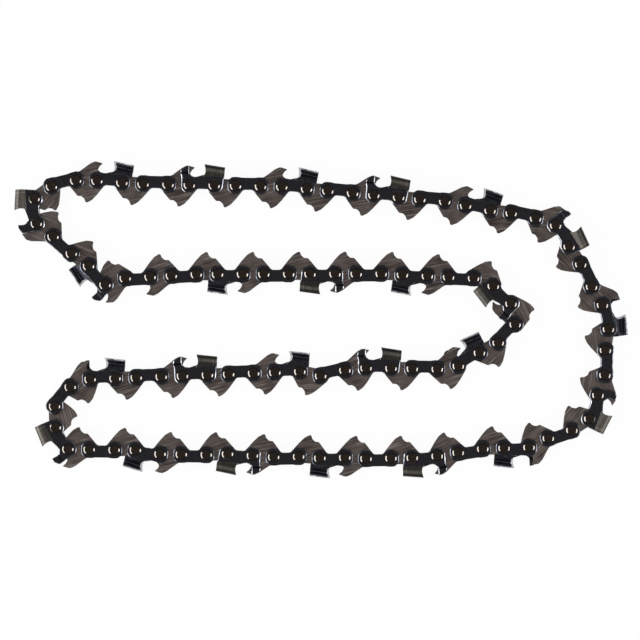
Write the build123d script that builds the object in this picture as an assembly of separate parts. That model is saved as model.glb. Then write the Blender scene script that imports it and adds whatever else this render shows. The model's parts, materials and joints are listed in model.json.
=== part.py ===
from build123d import *
import math
import os
import numpy as np

# A low-profile saw chain lying flat on its side: drive links on the middle plane, cutters and tie
# straps in pairs outside them, rivets across. Links are drawn in their own frame: x runs towards the
# rear of the chain, y away from the guide bar, z across the chain from its middle plane.

# Pitch, in millimetres from rivet to rivet
drive_pitch = 8.75
strap_pitch = 10.30

# Thickness across the chain
gauge = 1.27
strap_thickness = 1.12
side_clearance = 0.05
kerf = 6.6

# Side plate lobes and waist, measured from the line of the rivets
lobe_reach = 3.1
lobe_depth = 3.35
lobe_corner = 1.6
plate_top = 3.25
waist_depth = 1.6
waist_length = 3.4

# Rivets
head_radius = 2.45
face_radius = 1.85
head_height = 0.6
head_sides = 8
hub_radius = 1.9
hub_clearance = 0.06

# Drive link: body hidden between the plates, tang below, bumper above
link_top = 2.6
link_reach = 2.6
flank_depth = 1.65
flank_reach = 3.3
shoulder_depth = 6.4
shoulder_front = 3.6
shoulder_rear = 2.0
hook_depth = 7.5
hook_front = 0.85
tang_depth = 9.0
tip_length = 0.9
tip_rise = 1.1
tip_rear = 2.4
bumper_height = 7.7
bumper_foot = 3.3
bumper_crest = 2.0
bumper_flat = 2.0
bumper_beak = 6.4
beak_drop = 0.7
beak_root = 4.7
beak_hollow = 2.9

# Cutter: depth gauge ahead of the gullet, top plate behind it
gauge_setting = 0.65
gauge_front = 3.7
gauge_rear = 0.2
gauge_slope = 1.3
gullet_corner = 1.2
cutting_height = 8.5
edge_reach = 6.0
edge_hook = 0.5
edge_waist = 2.0
edge_foot = 1.3
heel_reach = 4.3
heel_drop = 1.2
side_relief = 0.3
top_plate_inset = 0.6
top_plate_thickness = 0.95
top_corner = 0.7
flare_height = 3.1
filing_angle = 22.0

# The loop: eleven like sections and a longer one where its ends are joined. Each entry is one pitch,
# a drive link and the pair of side plates behind it.
regular_section = ("right", "tie", "left", "tie")
join_section = ("right", "tie", "join", "right", "tie", "left", "tie")
regular_sections = 11

# How the loop lies: whole degrees of bend at the rivets that bend, counted from the first drive link
start_heading = -1
bends = {
    # first run, then the turn at its end
    1: -3, 3: 3, 9: -4, 16: -6, 18: 4, 19: -5, 20: -7,
    21: -38, 23: -7, 24: 5, 25: -17, 26: -22, 27: 7, 28: -18, 30: -38, 31: -14, 32: 6, 33: -23,
    # long return run, then the curl at its end
    35: 7, 37: -5, 38: -3, 40: -4, 41: 4, 42: -5, 43: 5, 44: -5, 46: 6, 47: -3, 49: -8, 50: 8,
    53: -59, 54: -28, 55: -41, 56: -30, 57: -19,
    # inner run, the fold that bends backwards, and the second inner run
    66: -14, 67: 25, 68: -7, 69: -7, 72: 9,
    73: 24, 74: -4, 75: 19, 76: 54, 77: 34, 78: 23, 79: 19, 83: 3, 91: 3, 94: 15,
    # the short slanting run back to the start
    95: -67, 96: 13, 97: -7, 98: 5, 99: -47, 100: -60, 101: -21, 0: -15,
}

# Places worked out from the sizes above
plate_inner = gauge / 2 + side_clearance
plate_outer = plate_inner + strap_thickness
half_kerf = kerf / 2
half_strap = strap_pitch / 2
half_drive = drive_pitch / 2


def section_pitches():
    """The pitches of every section, in order round the loop."""
    return [regular_section] * regular_sections + [join_section]


def loop_path():
    """Rivet places and link headings of the closed loop, bent as listed and then drawn shut evenly."""
    count = 2 * sum(len(pitches) for pitches in section_pitches())
    lengths = np.array([drive_pitch, strap_pitch] * (count // 2))
    turns = np.radians([bends.get(i, 0) for i in range(count)])
    for _ in range(30):
        heading = math.radians(start_heading) + np.concatenate([[0], np.cumsum(turns[1:])])
        steps = np.stack([lengths * np.cos(heading), lengths * np.sin(heading)])
        after = np.cumsum(steps[:, ::-1], axis=1)[:, ::-1]
        effect = np.vstack([-after[1], after[0], np.ones(count)])
        effect[:2, 0] = 0
        miss = np.append(steps.sum(axis=1), turns.sum() + 2 * math.pi)
        turns -= effect.T @ np.linalg.solve(effect @ effect.T, miss)
    places = np.cumsum(steps, axis=1) - steps
    return places.T, np.degrees(heading)


def plate(points, low, high):
    """A flat piece with straight edges, from one height to another across the chain."""
    return Pos(0, 0, low) * extrude(make_face(Polyline(*points, close=True)), high - low)


def lower_lobes():
    """The under edge that tie straps and cutters share, from the rear lobe to the front one."""
    end = half_strap + lobe_reach
    side = lobe_depth - lobe_corner
    rear = [
        (end, -side),
        (end - lobe_corner, -lobe_depth),
        (half_strap - lobe_reach + lobe_corner, -lobe_depth),
        (waist_length / 2, -waist_depth),
    ]
    return rear + [(-x, y) for x, y in reversed(rear)]


def tie_strap():
    """A dog-bone plate, straight on top."""
    end = half_strap + lobe_reach
    top = [(-end, plate_top - lobe_corner), (-end + lobe_corner, plate_top)]
    points = lower_lobes() + top + [(-x, y) for x, y in reversed(top)]
    return plate(points, plate_inner, plate_outer)


def tang():
    """The under edge of a drive link, from its rear flank round the hooked tip to its front flank."""
    tip = tip_length / 2
    return [
        (half_drive + flank_reach, -flank_depth),
        (tip_rear, tip_rise - tang_depth),
        (tip, -tang_depth),
        (-tip, -tang_depth),
        (-hook_front, -hook_depth),
        (-shoulder_rear, -shoulder_depth),
        (-shoulder_front, -shoulder_depth),
        (-half_drive - flank_reach, -flank_depth),
    ]


def bumper():
    """The hump that stands ahead of a cutter, from its foot over the crest to the beak and its hollow."""
    return [
        (-bumper_foot, link_top),
        (bumper_crest, bumper_height - beak_drop),
        (bumper_crest + bumper_flat, bumper_height),
        (bumper_beak, bumper_height - beak_drop),
        (beak_root, bumper_height - beak_hollow),
        (beak_root, link_top),
    ]


def drive_link(has_bumper, turns_freely):
    """A drive link, with a round bearing at its front where it turns on the rivet ahead."""
    end = half_drive + link_reach
    crown = bumper() if has_bumper else []
    points = tang() + [(-end, link_top)] + crown + [(end, link_top)]
    link = plate(points, -gauge / 2, gauge / 2)
    if turns_freely:
        link -= Pos(-half_drive, 0, 0) * Cylinder(hub_radius + hub_clearance, 2 * gauge)
    return link


def rivet_head():
    """One bevelled rivet head, on the outside of the upper plate."""
    foot = Pos(0, 0, plate_outer) * RegularPolygon(head_radius, head_sides)
    face = Pos(0, 0, plate_outer + head_height) * RegularPolygon(face_radius, head_sides)
    return loft([foot, face], ruled=True)


def cutter_side():
    """The cutter's flat side: lobes and waist as on a strap, with the depth gauge standing at the front."""
    front = -half_strap - lobe_reach
    gauge_top = cutting_height - gauge_setting
    nose = -half_strap - gauge_front
    back = -half_strap + gauge_rear
    depth_gauge = [
        (front, plate_top),
        (nose, plate_top + gullet_corner),
        (nose, gauge_top - gauge_slope),
        (nose + gauge_slope, gauge_top),
        (back, gauge_top),
        (back, plate_top + gullet_corner),
        (back + gullet_corner, plate_top),
    ]
    heel = [(half_strap + heel_reach, plate_top)]
    return plate(lower_lobes() + depth_gauge + heel, plate_inner, plate_outer)


def cutter_section(x, drop, relief):
    """The cutter's raised part cut across: a side that flares out and a top plate bent over the links."""
    top = cutting_height - drop
    under = top - top_plate_thickness
    outer = half_kerf - relief
    inner = outer - strap_thickness
    points = [
        (plate_inner, waist_depth),
        (plate_outer, waist_depth),
        (plate_outer, plate_top),
        (outer - (outer - plate_outer) / 4, plate_top + flare_height - drop),
        (outer, top - top_corner),
        (outer - top_corner, top),
        (-top_plate_inset, top),
        (-top_plate_inset, under),
        (inner - top_corner, under),
        (plate_inner, plate_top),
    ]
    return make_face(Polyline(*[(x, y, z) for z, y in points], close=True))


def file_stroke():
    """What the round file takes away ahead of the cutting edge, slanting inwards across the chain."""
    edge = edge_reach - half_strap
    reach = math.hypot(1, math.tan(math.radians(filing_angle)))
    points = [
        (edge, cutting_height + gauge_setting),
        (edge, cutting_height),
        (edge + edge_hook, cutting_height - edge_waist),
        (edge + edge_hook, plate_top + edge_waist),
        (edge - edge_foot, plate_top),
        (edge - strap_pitch, plate_top),
        (edge - strap_pitch, cutting_height + gauge_setting),
    ]
    face = Pos(0, 0, half_kerf) * make_face(Polyline(*points, close=True))
    slant = Vector(math.tan(math.radians(filing_angle)), 0, -1)
    return extrude(face, kerf * reach, dir=slant.normalized())


def cutter():
    """A cutter for the upper side of the chain as it lies."""
    front = edge_reach - half_strap - edge_foot
    rear = half_strap + heel_reach
    raised = loft([cutter_section(front, 0, 0), cutter_section(rear, heel_drop, side_relief)], ruled=True)
    return cutter_side() + (raised - file_stroke())


def hub():
    """The bearing of a rivet that the next drive link turns on, between the two plates."""
    return Cylinder(hub_radius, 2 * plate_inner)


def other_side(piece):
    """The same piece on the under side of the chain."""
    return mirror(piece, about=Plane.XY)


def solids_of(shape):
    """The separate solids of a shape."""
    return list(shape.solids())


def make_nodes():
    """Every node's solids, placed along the loop and centred over the origin, on the ground."""
    places, headings = loop_path()
    count = len(places)
    strap = tie_strap()
    tooth = cutter()
    head = rivet_head()
    pivot = hub()
    nodes = {}

    def put(name, piece, link):
        start = places[link]
        end = places[(link + 1) % count]
        x, y = (start + end) / 2
        spot = Location((float(x), float(y), half_kerf), (0, 0, float(headings[link])))
        nodes.setdefault(name, []).extend(solids_of(piece.moved(spot)))

    def put_rivet(name, rivet, link):
        x, y = places[rivet % count]
        spot = Location((float(x), float(y), half_kerf), (0, 0, float(headings[link])))
        for piece in (head, other_side(head)):
            nodes.setdefault(name, []).extend(solids_of(piece.moved(spot)))

    link = 0
    for number, pitches in enumerate(section_pitches(), start=1):
        mark = f"_{number:02d}"
        for place, kind in enumerate(pitches):
            put("drive_links" + mark, drive_link(kind != "tie", place == 0), link)
            if kind in ("tie", "join"):
                put("tie_straps" + mark, strap, link + 1)
                put("tie_straps" + mark, other_side(strap), link + 1)
            elif kind == "left":
                put("left_cutters" + mark, tooth, link + 1)
                put("tie_straps" + mark, other_side(strap), link + 1)
            else:
                put("tie_straps" + mark, strap, link + 1)
                put("right_cutters" + mark, other_side(tooth), link + 1)
            put_rivet("rivets" + mark, link + 1, link + 1)
            put_rivet("rivets" + mark, link + 2, link + 1)
            link += 2
        x, y = places[link % count]
        nodes["rivets" + mark].extend(solids_of(pivot.moved(Location((float(x), float(y), half_kerf)))))
    box = Compound([solid for solids in nodes.values() for solid in solids]).bounding_box()
    middle = Pos(-box.center().X, -box.center().Y, -box.min.Z)
    return {name: [solid.moved(middle) for solid in solids] for name, solids in nodes.items()}, middle


def main():
    os.makedirs("parts", exist_ok=True)
    nodes, _ = make_nodes()
    for name, solids in nodes.items():
        export_step(Compound(solids), f"parts/{name}.step")


if __name__ == "__main__":
    main()
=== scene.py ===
import json
import math
import bpy
import bmesh
from mathutils import Matrix, Vector


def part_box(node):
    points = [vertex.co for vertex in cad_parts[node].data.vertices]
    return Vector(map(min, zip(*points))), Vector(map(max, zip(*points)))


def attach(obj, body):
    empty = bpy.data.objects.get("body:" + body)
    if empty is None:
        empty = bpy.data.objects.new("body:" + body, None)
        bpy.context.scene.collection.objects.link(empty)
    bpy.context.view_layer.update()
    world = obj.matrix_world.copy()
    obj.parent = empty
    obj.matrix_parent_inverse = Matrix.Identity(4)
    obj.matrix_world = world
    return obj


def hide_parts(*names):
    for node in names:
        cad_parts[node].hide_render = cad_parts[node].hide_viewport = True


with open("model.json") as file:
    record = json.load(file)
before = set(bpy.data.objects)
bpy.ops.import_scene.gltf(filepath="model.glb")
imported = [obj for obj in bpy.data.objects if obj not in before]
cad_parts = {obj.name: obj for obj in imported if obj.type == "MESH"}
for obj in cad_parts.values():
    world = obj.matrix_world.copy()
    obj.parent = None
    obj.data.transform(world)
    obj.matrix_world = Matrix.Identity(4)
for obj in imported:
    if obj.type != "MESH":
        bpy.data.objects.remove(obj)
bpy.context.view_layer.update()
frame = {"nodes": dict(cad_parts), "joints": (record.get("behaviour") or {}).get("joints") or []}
mm = 0.001

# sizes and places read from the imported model, in millimetres from the middle plane of the chain
nodes = frame["nodes"]
sections = sorted(name[-2:] for name in nodes if name.startswith("rivets_"))
linkLow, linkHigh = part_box("drive_links_01")
midHeight = (linkLow.z + linkHigh.z) / 2
halfGauge = (linkHigh.z - midHeight) / mm
plateOuter = (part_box("tie_straps_01")[1].z - midHeight) / mm
headTop = (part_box("rivets_01")[1].z - midHeight) / mm
halfKerf = (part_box("left_cutters_01")[1].z - midHeight) / mm
sideClearance = 0.05
plateInner = halfGauge + sideClearance
sheet = plateOuter - plateInner
print("frame", len(nodes), "nodes, middle plane at", round(midHeight / mm, 3), "mm")


def hexToLinear(code):
    parts = [int(code[i:i + 2], 16) / 255 for i in (1, 3, 5)]
    return [c / 12.92 if c <= 0.04045 else ((c + 0.055) / 1.055) ** 2.4 for c in parts] + [1.0]


def addNode(tree, kind, links=None, **settings):
    node = tree.nodes.new(kind)
    for name, value in settings.items():
        if name.startswith("in_"):
            key = name[3:]
            node.inputs[int(key) if key.isdigit() else key.replace("_", " ")].default_value = value
        else:
            setattr(node, name, value)
    for name, source in (links or {}).items():
        tree.links.new(source, node.inputs[name])
    return node


# rivet places along the loop, in order, from the rivet heads of the model
rivetSearch = {"weldMm": 0.01, "apartMm": 2}  # a rivet's heads and hub share one place


def islandCentres(obj):
    mesh = bmesh.new()
    mesh.from_mesh(obj.data)
    bmesh.ops.remove_doubles(mesh, verts=mesh.verts, dist=rivetSearch["weldMm"] * mm)
    left = set(mesh.verts)
    centres = []
    for first in mesh.verts:
        if first not in left:
            continue
        left.discard(first)
        found = [first]
        for vert in found:
            for edge in vert.link_edges:
                other = edge.other_vert(vert)
                if other in left:
                    left.discard(other)
                    found.append(other)
        middle = sum((v.co for v in found), Vector()) / len(found)
        flat = Vector((middle.x, middle.y))
        if all((flat - c).length > rivetSearch["apartMm"] * mm for c in centres):
            centres.append(flat)
    mesh.free()
    return centres


def loopPath():
    first = frame["joints"][0]["pos_m"]
    path = [Vector((first[0], first[1]))]
    for mark in sections:
        waiting = islandCentres(nodes["rivets_" + mark])
        while waiting:
            nearest = min(waiting, key=lambda c: (c - path[-1]).length)
            waiting.remove(nearest)
            path.append(nearest)
    return path


path = loopPath()
halfDrive = (path[1] - path[0]).length / mm / 2
halfStrap = (path[2] - path[1]).length / mm / 2
print("loop", len(path) - 1, "rivets, half spaces", round(halfDrive, 3), round(halfStrap, 3), "mm")


def linkPlace(number):
    start, end = path[number], path[number + 1]
    middle = (start + end) / 2
    turn = math.atan2(end.y - start.y, end.x - start.x)
    spot = Matrix.Translation((middle.x, middle.y, midHeight)) @ Matrix.Rotation(turn, 4, "Z")
    return spot @ Matrix.Scale(mm, 4)


# outlines: each corner is (x, y, radius of its rounding), in millimetres
rounding = {"steps": 6, "sideShare": 0.48, "leastReach": 0.02, "straight": 3.1}


def rounded(corners, steps=rounding["steps"]):
    points = []
    count = len(corners)
    for i, (x, y, radius) in enumerate(corners):
        here = Vector((x, y))
        before = Vector(corners[i - 1][:2]) - here
        after = Vector(corners[(i + 1) % count][:2]) - here
        angle = before.angle(after)
        reach = radius / math.tan(angle / 2) if angle < rounding["straight"] else 0
        reach = min(reach, rounding["sideShare"] * before.length, rounding["sideShare"] * after.length)
        if reach < rounding["leastReach"]:
            points.append(here)
            continue
        start, end = here + before.normalized() * reach, here + after.normalized() * reach
        for k in range(steps + 1):
            t = k / steps
            points.append(start.lerp(here, t).lerp(here.lerp(end, t), t))
    return points


def flatBlank(points, height=0):
    mesh = bmesh.new()
    face = mesh.faces.new([mesh.verts.new((p.x, p.y, height)) for p in points])
    face.normal_update()
    if face.normal.z < 0:
        face.normal_flip()
    return mesh


def keptMesh(name, mesh):
    bmesh.ops.recalc_face_normals(mesh, faces=mesh.faces)
    data = bpy.data.meshes.new(name)
    mesh.to_mesh(data)
    mesh.free()
    return data


def dropWalls(mesh, low):
    # walls from the open border of a blank down to its other face
    border = [e for e in mesh.edges if e.is_boundary]
    walls = bmesh.ops.extrude_edge_only(mesh, edges=border)["geom"]
    for vert in walls:
        if isinstance(vert, bmesh.types.BMVert):
            vert.co.z = low
    return [e for e in mesh.edges if e.is_boundary]


def rollEdge(mesh, steps):
    # rings of a rolled edge round the first face, each (width, rise), in slot 1
    for width, rise in steps:
        mesh.faces.ensure_lookup_table()
        top = max(mesh.faces, key=lambda f: f.calc_area())
        ring = bmesh.ops.inset_region(mesh, faces=[top], thickness=width, depth=rise,
                                      use_even_offset=True, use_boundary=True)
        for face in ring["faces"]:
            face.material_index = 1


# the two round ends that straps and cutters share, with the waist between them
lobes = {
    "reach": 3.3, "depth": 3.4, "corner": 1.7, "round": 2.6, "top": 3.3,
    "waistDepth": 1.65, "waistHalf": 1.75, "waistRound": 1.6,
}


def lowerLobes():
    end = halfStrap + lobes["reach"]
    side = lobes["depth"] - lobes["corner"]
    rear = [
        (end, -side, lobes["round"]),
        (end - lobes["corner"], -lobes["depth"], lobes["round"]),
        (halfStrap - lobes["reach"] + lobes["corner"], -lobes["depth"], lobes["round"]),
        (lobes["waistHalf"], -lobes["waistDepth"], lobes["waistRound"]),
    ]
    return rear + [(-x, y, r) for x, y, r in reversed(rear)]


# a tie strap: punched plate, its outer edge rolled over by the punch
tieStrap = {
    "lobeRise": 0.25, "lobeEnd": 1.0, "slopeEnd": 2.6, "topRound": 2.4,
    "roll": ((0.13, 0.11), (0.15, 0.1)),
}


def tieStrapMesh():
    end = halfStrap + lobes["reach"]
    high = lobes["top"] + tieStrap["lobeRise"]
    bend = tieStrap["topRound"]
    top = [
        (-end, high - lobes["corner"], lobes["round"]),
        (-end + lobes["corner"], high, bend),
        (-halfStrap + tieStrap["lobeEnd"], high, bend),
        (-halfStrap + tieStrap["slopeEnd"], lobes["top"], bend),
    ]
    corners = lowerLobes() + top + [(-x, y, r) for x, y, r in reversed(top)]
    raised = sum(rise for width, rise in tieStrap["roll"])
    mesh = flatBlank(rounded(corners), plateOuter - raised)
    rollEdge(mesh, tieStrap["roll"])
    border = dropWalls(mesh, plateInner)
    bmesh.ops.holes_fill(mesh, edges=border, sides=0)
    return keptMesh("tieStrap", mesh)


# a drive link: ground flat, with a hooked tang below and, ahead of a cutter, a bumper with a beak
driveLink = {
    "top": 2.6, "reach": 2.6, "topRound": 1.2, "flank": 3.3, "flankDrop": 1.65, "flankRound": 1.0,
    "roll": ((0.1, 0.1),),
    "tang": [
        (4.4, -5.8, 5.0), (2.4, -7.95, 3.0), (0.5, -9.05, 0.4), (-0.25, -9.0, 0.3),
        (-0.8, -7.6, 1.2), (-2.0, -6.5, 1.6), (-3.6, -6.45, 0.7),
    ],
    "bumper": [
        (-4.6, 3.0, 2.0), (-2.6, 4.0, 6.0), (1.5, 7.1, 2.5), (3.5, 8.0, 1.6),
        (6.6, 7.15, 0.25), (5.2, 5.9, 1.6), (4.6, 4.6, 1.2), (5.0, 2.6, 1.0),
    ],
}


def driveLinkMesh(hasBumper):
    end = halfDrive + driveLink["reach"]
    flank = halfDrive + driveLink["flank"]
    rear, front = [(x, -driveLink["flankDrop"], driveLink["flankRound"]) for x in (flank, -flank)]
    frontTop, rearTop = [(x, driveLink["top"], driveLink["topRound"]) for x in (-end, end)]
    crown = driveLink["bumper"] if hasBumper else []
    corners = [rear] + driveLink["tang"] + [front, frontTop] + crown + [rearTop]
    raised = sum(rise for width, rise in driveLink["roll"])
    mesh = flatBlank(rounded(corners), halfGauge - raised)
    rollEdge(mesh, driveLink["roll"])
    border = dropWalls(mesh, raised - halfGauge)
    under = bmesh.ops.holes_fill(mesh, edges=border, sides=0)["faces"]
    bmesh.ops.recalc_face_normals(mesh, faces=mesh.faces)
    for width, rise in driveLink["roll"]:
        bmesh.ops.inset_region(mesh, faces=under, thickness=width, depth=rise,
                               use_even_offset=True, use_boundary=True)
    for face in mesh.faces:
        face.material_index = 0
    return keptMesh("driveLink", mesh)


# a cutter is cut flat as a blank, then its rear half is bent out and over the chain
cutter = {
    # the depth gauge in front, with its jog
    "gaugeFront": 3.75, "gaugeTop": 7.85, "gaugeRear": -0.15, "gaugeSide": -1,
    "jogFoot": 4.2, "jogRise": 1.1, "jogOut": 0.6,
    # the side plate and the top plate behind it
    "heel": 4.35, "heelDrop": 1.2, "cornerRise": 5.5, "edgeStart": 0.85, "slant": 0.36, "sideRelief": 0.3,
    "footOut": 0.02, "footRise": 0.2, "flareIn": 0.1, "flareRise": 2.8, "flareRound": 0.9,
    "shoulder": 1.15, "shoulderIn": 0.75, "bendRound": 0.6, "bendSteps": 4, "strips": 32,
    "cutTop": 8.5, "topShare": 0.42, "topInset": 0.55, "topThin": 0.55,
    # the filed front, the edges and where the chrome starts
    "filed": 0.9, "filedRise": 1.5, "frontReach": 3.5, "near": 0.1, "chromeFrom": 0.3,
    "roll": 0.3, "rollLift": 0.08, "rollSplit": 0.05, "edge": 0.08,
}
flatMiddle = plateOuter - sheet / 2
frontEnd = cutter["edgeStart"] + cutter["frontReach"]
# the last slot is a paler blued steel for the inside of the bend: painted light in the shaded hollow
bluedSlot, chromeSlot, edgeSlot, filedSlot, paintedLightSlot = range(5)


def bendProfile():
    # places (across, up) that the blank's middle surface follows above the lobes, with the way gone so far
    foot = lobes["top"]
    outer = halfKerf - sheet / 2
    top = cutter["cutTop"] - sheet * cutter["topShare"]
    bend = cutter["bendRound"]
    corners = [
        (flatMiddle, foot, 0),
        (flatMiddle + cutter["footOut"], foot + cutter["footRise"], bend),
        (outer - cutter["flareIn"], foot + cutter["flareRise"], cutter["flareRound"]),
        (outer, top - cutter["shoulder"], bend),
        (outer - cutter["shoulderIn"], top, bend),
        (-cutter["topInset"], top, 0),
    ]
    points = rounded(corners, cutter["bendSteps"])
    lengths = [0.0]
    for a, b in zip(points, points[1:]):
        lengths.append(lengths[-1] + (b - a).length)
    return points, lengths


profile, profileLengths = bendProfile()
blankTop = lobes["top"] + profileLengths[-1]


def onProfile(rise):
    rise = min(max(rise, 0), profileLengths[-1])
    for k in range(1, len(profile)):
        if rise <= profileLengths[k]:
            break
    share = (rise - profileLengths[k - 1]) / (profileLengths[k] - profileLengths[k - 1])
    along = (profile[k] - profile[k - 1]).normalized()
    return profile[k - 1].lerp(profile[k], share), Vector((along.y, -along.x))


def cutterBlank():
    front = -halfStrap - lobes["reach"]
    nose = -halfStrap - cutter["gaugeFront"]
    back = -halfStrap + cutter["gaugeRear"]
    rear = halfStrap + cutter["heel"]
    top, gaugeTop, edge = lobes["top"], cutter["gaugeTop"], cutter["edgeStart"]
    corner = lobes["top"] + cutter["cornerRise"]
    slanted = edge + cutter["slant"] * (blankTop - corner)
    depthGauge = [
        (front, top - 0.3, 1.6), (nose, top + 1.6, 1.0), (nose + 0.2, gaugeTop - 1.6, 0.7),
        (nose + 2.1, gaugeTop - 0.1, 1.6), (back, gaugeTop, 0.3),
        (back, top + 1.3, 1.6), (back + 1.6, top, 1.6),
    ]
    raised = [
        (edge - 0.65, top, 1.2), (edge + 0.4, top + 1.7, 2.5), (edge + 0.62, top + 3.3, 2.5),
        (edge, corner, 0.25), (slanted, blankTop, 0.3), (rear - 0.3, blankTop, 0.5),
        (rear, corner, 0.8), (rear - 0.35, top, 1.2),
    ]
    return rounded(lowerLobes() + depthGauge + raised)


def sheetPoints(x, y):
    # outer and inner point of the bent sheet for a point of the blank
    rise = y - lobes["top"]
    onGauge = x < cutter["gaugeSide"]
    if onGauge or rise <= 0:
        step = min(1, max(0, (y - cutter["jogFoot"]) / cutter["jogRise"])) if onGauge else 0
        across = flatMiddle + cutter["jogOut"] * step * step * (3 - 2 * step)
        return Vector((x, y, across + sheet / 2)), Vector((x, y, across - sheet / 2))
    middle, out = onProfile(rise)
    share = min(1, (middle.y - lobes["top"]) / cutter["flareRise"])
    back = max(0, (x - cutter["edgeStart"]) / (halfStrap + cutter["heel"] - cutter["edgeStart"]))
    down = share * back * cutter["heelDrop"]
    relief = share * back * cutter["sideRelief"] if middle.x > flatMiddle else 0
    thin = 1 - (1 - cutter["topThin"]) * max(0, out.y) * (rise / profileLengths[-1])
    filed = cutter["filed"] * min(1, rise / cutter["filedRise"]) if x < frontEnd else 0
    spot = Vector((x, middle.y - down, middle.x - relief))
    offset = Vector((0, out.y, out.x)) * sheet / 2
    return spot + offset, spot - offset * (2 * thin - 1) + Vector((filed, 0, 0))


def cutterMesh():
    blank = flatBlank(cutterBlank())
    for k in range(1, cutter["strips"]):
        level = lobes["top"] + (blankTop - lobes["top"]) * k / cutter["strips"]
        parts = blank.verts[:] + blank.edges[:] + blank.faces[:]
        bmesh.ops.bisect_plane(blank, geom=parts, plane_co=(0, level, 0), plane_no=(0, 1, 0), dist=1e-5)
    mesh = bmesh.new()
    outer, inner = {}, {}
    for vert in blank.verts:
        outside, inside = sheetPoints(vert.co.x, vert.co.y)
        outer[vert], inner[vert] = mesh.verts.new(outside), mesh.verts.new(inside)
    for face in blank.faces:
        skin = mesh.faces.new([outer[v] for v in face.verts])
        middle = face.calc_center_median()
        raised = middle.y > lobes["top"] + cutter["chromeFrom"] and middle.x > 0
        skin.material_index = chromeSlot if raised else bluedSlot
        hollow = mesh.faces.new([inner[v] for v in reversed(face.verts)])
        # inside the raised part the inner skin takes the paler blued copy, painted light that brightens the
        # shaded hollow of the bend
        hollow.material_index = paintedLightSlot if raised else bluedSlot
    rims, rolls, bare = [], [], []
    for border in blank.edges:
        if border.is_boundary:
            a, b = border.verts
            rim = mesh.faces.new((outer[a], outer[b], inner[b], inner[a]))
            middle = (a.co + b.co) / 2
            atFront = 0 < middle.x < frontEnd and middle.y > lobes["top"] + cutter["near"]
            atTop = middle.x > 0 and middle.y > blankTop - cutter["near"]
            rim.material_index = filedSlot if atFront else edgeSlot if atTop else bluedSlot
            rolled = middle.x < cutter["gaugeSide"] or middle.y < lobes["top"]
            for edge in rim.edges:
                if set(edge.verts) == {outer[a], outer[b]}:
                    (rolls if rolled else bare).append(edge)
                if set(edge.verts) == {inner[a], inner[b]}:
                    (rims if rolled else bare).append(edge)
    blank.free()
    bmesh.ops.recalc_face_normals(mesh, faces=mesh.faces)
    bevels = (
        (rolls, cutter["roll"], edgeSlot),
        (rims, cutter["edge"], edgeSlot),
        (bare, cutter["edge"], filedSlot),
    )
    for edges, width, slot in bevels:
        kept = [e for e in edges if e.is_valid]
        cut = bmesh.ops.bevel(mesh, geom=kept, offset=width, segments=1, affect="EDGES",
                              clamp_overlap=False, material=slot)
        if edges is rolls:  # a rolled edge is wider than it is deep
            low = set()
            for face in cut["faces"]:
                level = face.calc_center_median().z - cutter["rollSplit"]
                low |= {v for v in face.verts if v.co.z < level}
            for vert in low:
                vert.co.z += cutter["rollLift"]
    return keptMesh("cutter", mesh)


# a spun rivet: foot on the plate, bright rolled ring, flat dark face with a shallow dish
rivet = {
    "foot": 2.32, "draft": 0.02, "wall": 0.25, "ring": 1.87, "face": 1.79, "dish": 0.06, "dishStep": 0.2,
    "sides": 40,
}
faceSlot, ringSlot = range(2)


def rivetMesh():
    height = headTop - plateOuter
    rings = [  # radius, height and slot of each
        (rivet["foot"], 0, ringSlot),
        (rivet["foot"] - rivet["draft"], rivet["wall"], ringSlot),
        (rivet["ring"], height, ringSlot),
        (rivet["face"], height, faceSlot),
        (rivet["face"] - rivet["dishStep"], height - rivet["dish"], faceSlot),
    ]
    turns = [2 * math.pi * k / rivet["sides"] for k in range(rivet["sides"])]
    mesh = bmesh.new()
    for side in (1, -1):
        loops = []
        for radius, rise, slot in rings:
            up = side * (plateOuter + rise)
            loops.append([mesh.verts.new((radius * math.cos(a), radius * math.sin(a), up)) for a in turns])
        for lower, upper, (radius, rise, slot) in zip(loops, loops[1:], rings[1:]):
            for k in range(rivet["sides"]):
                j = (k + 1) % rivet["sides"]
                mesh.faces.new((lower[k], lower[j], upper[j], upper[k])).material_index = slot
        mesh.faces.new(loops[-1]).material_index = faceSlot
        mesh.faces.new(loops[0]).material_index = ringSlot
    return keptMesh("rivet", mesh)


plainLink, bumperLink = driveLinkMesh(False), driveLinkMesh(True)
strap, tooth, rivetPair = tieStrapMesh(), cutterMesh(), rivetMesh()
print("templates", [len(m.polygons) for m in (plainLink, bumperLink, strap, tooth, rivetPair)], "faces")


def newMaterial(name):
    # patterns follow each piece's own millimetres, kept on its points as blankMm
    material = bpy.data.materials.new(name)
    material.use_nodes = True
    tree = material.node_tree
    place = addNode(tree, "ShaderNodeAttribute", attribute_name="blankMm")
    return material, tree, tree.nodes["Principled BSDF"], place.outputs["Vector"]


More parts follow.
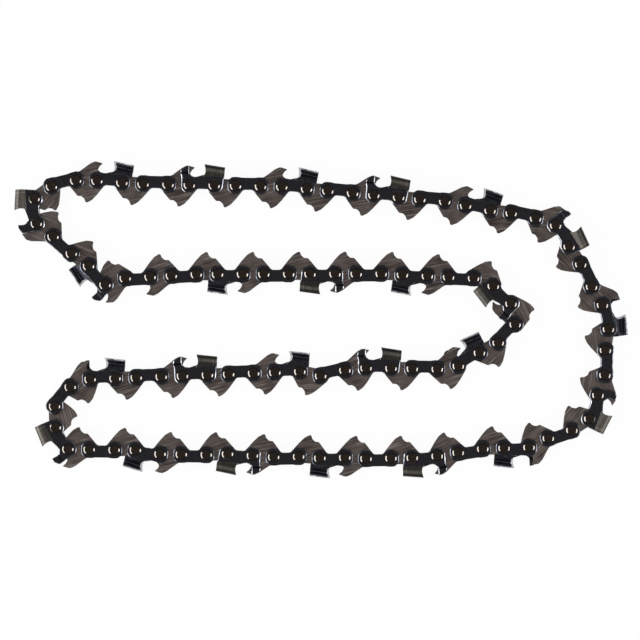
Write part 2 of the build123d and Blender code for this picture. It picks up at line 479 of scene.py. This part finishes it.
# ground steel: links hardened brown and ground flat, which leaves slanting lines, some bright, some dark;
# the wheel's own lines are finer, and are drawn as coarse as they need to be to show
def groundSteel():
    look = {
        "dark": "#4a4341", "mid": "#5d5450", "line": "#8f8580", "groove": "#2b2524",
        "lineMm": 0.6, "lineTilt": 15, "lineStretch": 0.05, "lineSpan": (0.56, 0.78),
        "grooveSpan": (0.47, 0.36), "blotchMm": 5, "blotchSpan": (0.35, 0.65),
        "patchMm": 9, "patchSpan": (0.4, 0.6), "patchShare": (0.12, 0.75),
        "rough": (0.38, 0.58), "bump": 0.3, "bumpMm": 0.03,
    }
    material, tree, shader, place = newMaterial("ground_steel")
    tilt = (0, 0, -math.radians(look["lineTilt"]))
    turned = addNode(tree, "ShaderNodeMapping", {"Vector": place}, in_Rotation=tilt)
    drawn = addNode(tree, "ShaderNodeMapping", {"Vector": turned.outputs[0]},
                    in_Scale=(look["lineStretch"], 1, 1))
    lines = addNode(tree, "ShaderNodeTexNoise", {"Vector": drawn.outputs[0]},
                    in_Scale=1 / look["lineMm"], in_Detail=3.0)
    blotch = addNode(tree, "ShaderNodeTexNoise", {"Vector": place},
                     in_Scale=1 / look["blotchMm"], in_Detail=5.0)
    spread = addNode(tree, "ShaderNodeMapRange", {"Value": blotch.outputs["Fac"]},
                     in_1=look["blotchSpan"][0], in_2=look["blotchSpan"][1])
    bright = addNode(tree, "ShaderNodeMapRange", {"Value": lines.outputs["Fac"]},
                     in_1=look["lineSpan"][0], in_2=look["lineSpan"][1])
    # the dark grooves show in patches, so that some links have them and others hardly
    patch = addNode(tree, "ShaderNodeTexNoise", {"Vector": place},
                    in_Scale=1 / look["patchMm"], in_Detail=1.0)
    ground = addNode(tree, "ShaderNodeMapRange", {"Value": patch.outputs["Fac"]},
                     in_1=look["patchSpan"][0], in_2=look["patchSpan"][1],
                     in_3=look["patchShare"][0], in_4=look["patchShare"][1])
    deep = addNode(tree, "ShaderNodeMapRange", {"Value": lines.outputs["Fac"]},
                   in_1=look["grooveSpan"][0], in_2=look["grooveSpan"][1])
    groove = addNode(tree, "ShaderNodeMath", {0: deep.outputs[0], 1: ground.outputs[0]},
                     operation="MULTIPLY")
    base = addNode(tree, "ShaderNodeMix", {0: spread.outputs[0]}, data_type="RGBA",
                   in_6=hexToLinear(look["dark"]), in_7=hexToLinear(look["mid"]))
    lined = addNode(tree, "ShaderNodeMix", {0: bright.outputs[0], 6: base.outputs[2]}, data_type="RGBA",
                    in_7=hexToLinear(look["line"]))
    scored = addNode(tree, "ShaderNodeMix", {0: groove.outputs[0], 6: lined.outputs[2]}, data_type="RGBA",
                     in_7=hexToLinear(look["groove"]))
    tree.links.new(scored.outputs[2], shader.inputs["Base Color"])
    rough = addNode(tree, "ShaderNodeMapRange", {"Value": lines.outputs["Fac"]},
                    in_3=look["rough"][0], in_4=look["rough"][1])
    tree.links.new(rough.outputs[0], shader.inputs["Roughness"])
    bump = addNode(tree, "ShaderNodeBump", {"Height": lines.outputs["Fac"]},
                   in_Strength=look["bump"], in_Distance=look["bumpMm"] * mm)
    tree.links.new(bump.outputs[0], shader.inputs["Normal"])
    shader.inputs["Metallic"].default_value = 1.0
    return material


# blued steel: oil-blackened sheet, smooth and blue-black, a little mottled; the paler copy inside the
# cutter's bend is painted light, brightening the hollow that the bent top plate shades
bluedTones = {"blued_steel": ("#1b1a1e", "#2c2b2f"), "blued_painted_light": ("#33333a", "#46464f")}


def bluedSteel(name):
    look = {"grainMm": 1.4, "rough": (0.26, 0.42), "bump": 0.15, "bumpMm": 0.02}
    dark, light = bluedTones[name]
    material, tree, shader, place = newMaterial(name)
    grain = addNode(tree, "ShaderNodeTexNoise", {"Vector": place},
                    in_Scale=1 / look["grainMm"], in_Detail=5.0)
    tint = addNode(tree, "ShaderNodeMix", {0: grain.outputs["Fac"]}, data_type="RGBA",
                   in_6=hexToLinear(dark), in_7=hexToLinear(light))
    tree.links.new(tint.outputs[2], shader.inputs["Base Color"])
    rough = addNode(tree, "ShaderNodeMapRange", {"Value": grain.outputs["Fac"]},
                    in_3=look["rough"][0], in_4=look["rough"][1])
    tree.links.new(rough.outputs[0], shader.inputs["Roughness"])
    bump = addNode(tree, "ShaderNodeBump", {"Height": grain.outputs["Fac"]},
                   in_Strength=look["bump"], in_Distance=look["bumpMm"] * mm)
    tree.links.new(bump.outputs[0], shader.inputs["Normal"])
    shader.inputs["Metallic"].default_value = 1.0
    return material


# rolled edges of blued plates, rubbed through to bright steel here and there; brighter on the cutters
edgeTones = {"rubbed_edge": ("#34353b", "#8b8f98"), "tumbled_edge": ("#63656b", "#c9ccd2")}


def rubbedEdge(name):
    look = {"rubMm": 1.8, "rubSpan": (0.35, 0.62), "rough": 0.3}
    dark, light = edgeTones[name]
    material, tree, shader, place = newMaterial(name)
    rub = addNode(tree, "ShaderNodeTexNoise", {"Vector": place},
                  in_Scale=1 / look["rubMm"], in_Detail=4.0)
    worn = addNode(tree, "ShaderNodeMapRange", {"Value": rub.outputs["Fac"]},
                   in_1=look["rubSpan"][0], in_2=look["rubSpan"][1])
    tint = addNode(tree, "ShaderNodeMix", {0: worn.outputs[0]}, data_type="RGBA",
                   in_6=hexToLinear(dark), in_7=hexToLinear(light))
    tree.links.new(tint.outputs[2], shader.inputs["Base Color"])
    shader.inputs["Metallic"].default_value = 1.0
    shader.inputs["Roughness"].default_value = look["rough"]
    return material


# spun rivet face: burnt dark brown, with the rings of the spinning tool, drawn coarser than they are
def rivetFaceSteel():
    look = {
        "dark": "#1e1916", "light": "#312a26", "grainMm": 0.9, "rough": 0.42,
        "ringMm": 0.35, "ringWobble": 0.6, "bump": 0.25, "bumpMm": 0.02,
    }
    material, tree, shader, place = newMaterial("spun_rivet_face")
    grain = addNode(tree, "ShaderNodeTexNoise", {"Vector": place},
                    in_Scale=1 / look["grainMm"], in_Detail=4.0)
    tint = addNode(tree, "ShaderNodeMix", {0: grain.outputs["Fac"]}, data_type="RGBA",
                   in_6=hexToLinear(look["dark"]), in_7=hexToLinear(look["light"]))
    tree.links.new(tint.outputs[2], shader.inputs["Base Color"])
    # a wave of scale 1 repeats every 0.314 units
    rings = addNode(tree, "ShaderNodeTexWave", {"Vector": place}, wave_type="RINGS", rings_direction="Z",
                    in_Scale=0.314 / look["ringMm"], in_Distortion=look["ringWobble"])
    bump = addNode(tree, "ShaderNodeBump", {"Height": rings.outputs["Fac"]},
                   in_Strength=look["bump"], in_Distance=look["bumpMm"] * mm)
    tree.links.new(bump.outputs[0], shader.inputs["Normal"])
    shader.inputs["Metallic"].default_value = 1.0
    shader.inputs["Roughness"].default_value = look["rough"]
    return material


# the rivet's rolled ring is polished by the tool and mirrors the lamps as crescents
def rivetRingSteel():
    look = {"dark": "#756e68", "light": "#b0a9a2", "grainMm": 0.5, "rough": 0.14}
    material, tree, shader, place = newMaterial("rolled_rivet_ring")
    grain = addNode(tree, "ShaderNodeTexNoise", {"Vector": place},
                    in_Scale=1 / look["grainMm"], in_Detail=3.0)
    tint = addNode(tree, "ShaderNodeMix", {0: grain.outputs["Fac"]}, data_type="RGBA",
                   in_6=hexToLinear(look["dark"]), in_7=hexToLinear(look["light"]))
    tree.links.new(tint.outputs[2], shader.inputs["Base Color"])
    shader.inputs["Metallic"].default_value = 1.0
    shader.inputs["Roughness"].default_value = look["rough"]
    return material


# hard chrome: olive grey, drawn across the cutter, with the scribed mark that shows how far it may be filed
def cutterChrome():
    look = {
        "dark": "#413e3a", "light": "#605c57", "mark": "#7a7067", "markAt": 7.9, "markMm": 0.22,
        "drawnMm": 0.35, "drawnStretch": 0.06, "drawnSpan": (0.32, 0.68),
        "rough": (0.26, 0.42), "bump": 0.25, "bumpMm": 0.02,
    }
    material, tree, shader, place = newMaterial("hard_chrome")
    drawn = addNode(tree, "ShaderNodeMapping", {"Vector": place}, in_Scale=(1, look["drawnStretch"], 1))
    streaks = addNode(tree, "ShaderNodeTexNoise", {"Vector": drawn.outputs[0]},
                      in_Scale=1 / look["drawnMm"], in_Detail=3.0)
    spread = addNode(tree, "ShaderNodeMapRange", {"Value": streaks.outputs["Fac"]},
                     in_1=look["drawnSpan"][0], in_2=look["drawnSpan"][1])
    base = addNode(tree, "ShaderNodeMix", {0: spread.outputs[0]}, data_type="RGBA",
                   in_6=hexToLinear(look["dark"]), in_7=hexToLinear(look["light"]))
    apart = addNode(tree, "ShaderNodeSeparateXYZ", {0: place})
    mark = addNode(tree, "ShaderNodeMath", {0: apart.outputs["X"]}, operation="COMPARE",
                   in_1=look["markAt"], in_2=look["markMm"] / 2)
    scribed = addNode(tree, "ShaderNodeMix", {0: mark.outputs[0], 6: base.outputs[2]}, data_type="RGBA",
                      in_7=hexToLinear(look["mark"]))
    tree.links.new(scribed.outputs[2], shader.inputs["Base Color"])
    rough = addNode(tree, "ShaderNodeMapRange", {"Value": streaks.outputs["Fac"]},
                    in_3=look["rough"][0], in_4=look["rough"][1])
    tree.links.new(rough.outputs[0], shader.inputs["Roughness"])
    bump = addNode(tree, "ShaderNodeBump", {"Height": streaks.outputs["Fac"]},
                   in_Strength=look["bump"], in_Distance=look["bumpMm"] * mm)
    tree.links.new(bump.outputs[0], shader.inputs["Normal"])
    shader.inputs["Metallic"].default_value = 1.0
    return material


# filed steel: the bare grey cutting face, with the lines of the round file, drawn coarser than they are
def filedSteel():
    look = {"dark": "#a8a9ab", "light": "#cfd1d4", "lineMm": 0.25, "lineStretch": 0.1, "rough": 0.36}
    material, tree, shader, place = newMaterial("filed_steel")
    drawn = addNode(tree, "ShaderNodeMapping", {"Vector": place}, in_Scale=(1, 1, look["lineStretch"]))
    lines = addNode(tree, "ShaderNodeTexNoise", {"Vector": drawn.outputs[0]},
                    in_Scale=1 / look["lineMm"], in_Detail=2.0)
    tint = addNode(tree, "ShaderNodeMix", {0: lines.outputs["Fac"]}, data_type="RGBA",
                   in_6=hexToLinear(look["dark"]), in_7=hexToLinear(look["light"]))
    tree.links.new(tint.outputs[2], shader.inputs["Base Color"])
    shader.inputs["Metallic"].default_value = 1.0
    shader.inputs["Roughness"].default_value = look["rough"]
    return material


# the second blued finish is a paler copy, painted light for the shaded inside of the cutter's bend
link, blued, bluedPaintedLight = groundSteel(), bluedSteel("blued_steel"), bluedSteel("blued_painted_light")
rubbed, tumbled = rubbedEdge("rubbed_edge"), rubbedEdge("tumbled_edge")
rivetFace, rivetRing, chrome, filed = rivetFaceSteel(), rivetRingSteel(), cutterChrome(), filedSteel()
print("finishes", [m.name for m in bpy.data.materials])


# the pattern of each piece is set apart from the next; an edge sharper than the crease shows as an edge
gathering = {"pieceMm": 20, "sectionMm": 100, "crease": 22}


def gather(name, node, pieces, slots):
    # pieces is a list of (template, place); each keeps its own millimetres
    mesh = bmesh.new()
    ownPlaces = []
    for number, (template, spot) in enumerate(pieces):
        shift = gathering["pieceMm"] * number + gathering["sectionMm"] * int(node[-2:])
        for vert in template.vertices:
            ownPlaces += [vert.co.x, vert.co.y, vert.co.z + shift]
        copy = template.copy()
        copy.transform(spot)
        if spot.determinant() < 0:
            copy.flip_normals()
        mesh.from_mesh(copy)
        bpy.data.meshes.remove(copy)
    data = bpy.data.meshes.new(name)
    mesh.to_mesh(data)
    mesh.free()
    data.attributes.new("blankMm", "FLOAT_VECTOR", "POINT").data.foreach_set("vector", ownPlaces)
    for material in slots:
        data.materials.append(material)
    data.polygons.foreach_set("use_smooth", [True] * len(data.polygons))
    data.set_sharp_from_angle(angle=math.radians(gathering["crease"]))
    obj = bpy.data.objects.new(name, data)
    bpy.context.scene.collection.objects.link(obj)
    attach(obj, "section_" + node[-2:])
    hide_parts(node)


# the order of the links: each entry is a drive link and the pair of plates behind it
regularPitches = ("right", "tie", "left", "tie")
joinPitches = ("right", "tie", "join", "right", "tie", "left", "tie")
under = Matrix.Scale(-1, 4, (0, 0, 1))
cutterSlots = [blued, chrome, tumbled, filed, bluedPaintedLight]
count = 0
for mark in sections:
    drives, straps, uppers, lowers, rivets = [], [], [], [], []
    for kind in joinPitches if mark == sections[-1] else regularPitches:
        drives.append((plainLink if kind == "tie" else bumperLink, linkPlace(count)))
        spot = linkPlace(count + 1)
        if kind == "left":
            uppers.append((tooth, spot))
        else:
            straps.append((strap, spot))
        if kind == "right":
            lowers.append((tooth, spot @ under))
        else:
            straps.append((strap, spot @ under))
        for number in (count + 1, count + 2):
            here = Matrix.Translation((path[number].x, path[number].y, midHeight))
            rivets.append((rivetPair, here @ Matrix.Scale(mm, 4)))
        count += 2
    gather("ground_links_" + mark, "drive_links_" + mark, drives, [link])
    gather("blued_straps_" + mark, "tie_straps_" + mark, straps, [blued, rubbed])
    gather("spun_rivets_" + mark, "rivets_" + mark, rivets, [rivetFace, rivetRing])
    gather("upper_cutters_" + mark, "left_cutters_" + mark, uppers, cutterSlots)
    gather("lower_cutters_" + mark, "right_cutters_" + mark, lowers, cutterSlots)
print("pieces", len(sections) * 5, "placed over", count, "links")

# white table that keeps a faint shadow
table = {"halfSize": 3, "colour": "#f4f4f4", "rough": 0.9, "glow": 0.95}
tableMesh = bmesh.new()
bmesh.ops.create_grid(tableMesh, x_segments=1, y_segments=1, size=table["halfSize"])
tableObject = bpy.data.objects.new("table", keptMesh("table", tableMesh))
bpy.context.scene.collection.objects.link(tableObject)
white = bpy.data.materials.new("white_table")
white.use_nodes = True
tree = white.node_tree
shader = tree.nodes["Principled BSDF"]
shader.inputs["Base Color"].default_value = hexToLinear(table["colour"])
shader.inputs["Roughness"].default_value = table["rough"]
rays = addNode(tree, "ShaderNodeLightPath")
seen = rays.outputs["Is Camera Ray"]
for ray in ("Is Glossy Ray", "Is Transmission Ray"):
    seen = addNode(tree, "ShaderNodeMath", {0: seen, 1: rays.outputs[ray]}, operation="ADD").outputs[0]
share = addNode(tree, "ShaderNodeMath", {0: seen}, operation="MULTIPLY", in_1=table["glow"])
glow = addNode(tree, "ShaderNodeEmission", in_Color=(1, 1, 1, 1), in_Strength=1.0)
mixed = addNode(tree, "ShaderNodeMixShader",
                {0: share.outputs[0], 1: shader.outputs[0], 2: glow.outputs[0]})
tree.links.new(mixed.outputs[0], tree.nodes["Material Output"].inputs["Surface"])
tableObject.data.materials.append(white)

# a bright ceiling over dark walls, a long soft box on the left and a short one on the right, both low down
studio = {"ceiling": 1.0, "walls": 0.03, "wallTop": 0.36, "ceilingStart": 0.95}
softBoxes = (
    {"turn": 192, "away": 0.55, "high": 0.24, "tall": 0.42, "long": 0.72, "watts": 3.3},
    {"turn": -12, "away": 0.55, "high": 0.24, "tall": 0.42, "long": 0.36, "watts": 1.8},
)
world = bpy.data.worlds.new("studio")
bpy.context.scene.world = world
world.use_nodes = True
tree = world.node_tree
sky = addNode(tree, "ShaderNodeTexCoord")
parts = addNode(tree, "ShaderNodeSeparateXYZ", {0: sky.outputs["Generated"]})
level = addNode(tree, "ShaderNodeMapRange", {"Value": parts.outputs["Z"]}, in_1=studio["wallTop"],
                in_2=studio["ceilingStart"], in_3=studio["walls"], in_4=studio["ceiling"])
tree.links.new(level.outputs[0], tree.nodes["Background"].inputs["Strength"])
tree.nodes["Background"].inputs["Color"].default_value = (1, 1, 1, 1)
for softBox in softBoxes:
    lamp = bpy.data.lights.new("soft_box", "AREA")
    lamp.shape = "RECTANGLE"
    lamp.size, lamp.size_y = softBox["long"], softBox["tall"]
    lamp.energy = softBox["watts"]
    box = bpy.data.objects.new("soft_box", lamp)
    turn = math.radians(softBox["turn"])
    box.location = (softBox["away"] * math.cos(turn), softBox["away"] * math.sin(turn), softBox["high"])
    box.rotation_euler = (-box.location).to_track_quat("-Z", "Y").to_euler()
    bpy.context.scene.collection.objects.link(box)

# straight down from well above, with the photograph's width across the frame
shot = {"away": 1.6, "widthMm": 264.6, "leftMm": 0.6, "upMm": -0.2, "sensorMm": 36}
camera = bpy.data.cameras.new("camera")
camera.sensor_width = shot["sensorMm"]
camera.lens = shot["sensorMm"] * shot["away"] / (shot["widthMm"] * mm)
cameraObject = bpy.data.objects.new("camera", camera)
cameraObject.location = (-shot["leftMm"] * mm, shot["upMm"] * mm, shot["away"])
bpy.context.scene.collection.objects.link(cameraObject)
bpy.context.scene.camera = cameraObject
bpy.context.scene.view_settings.view_transform = "Standard"
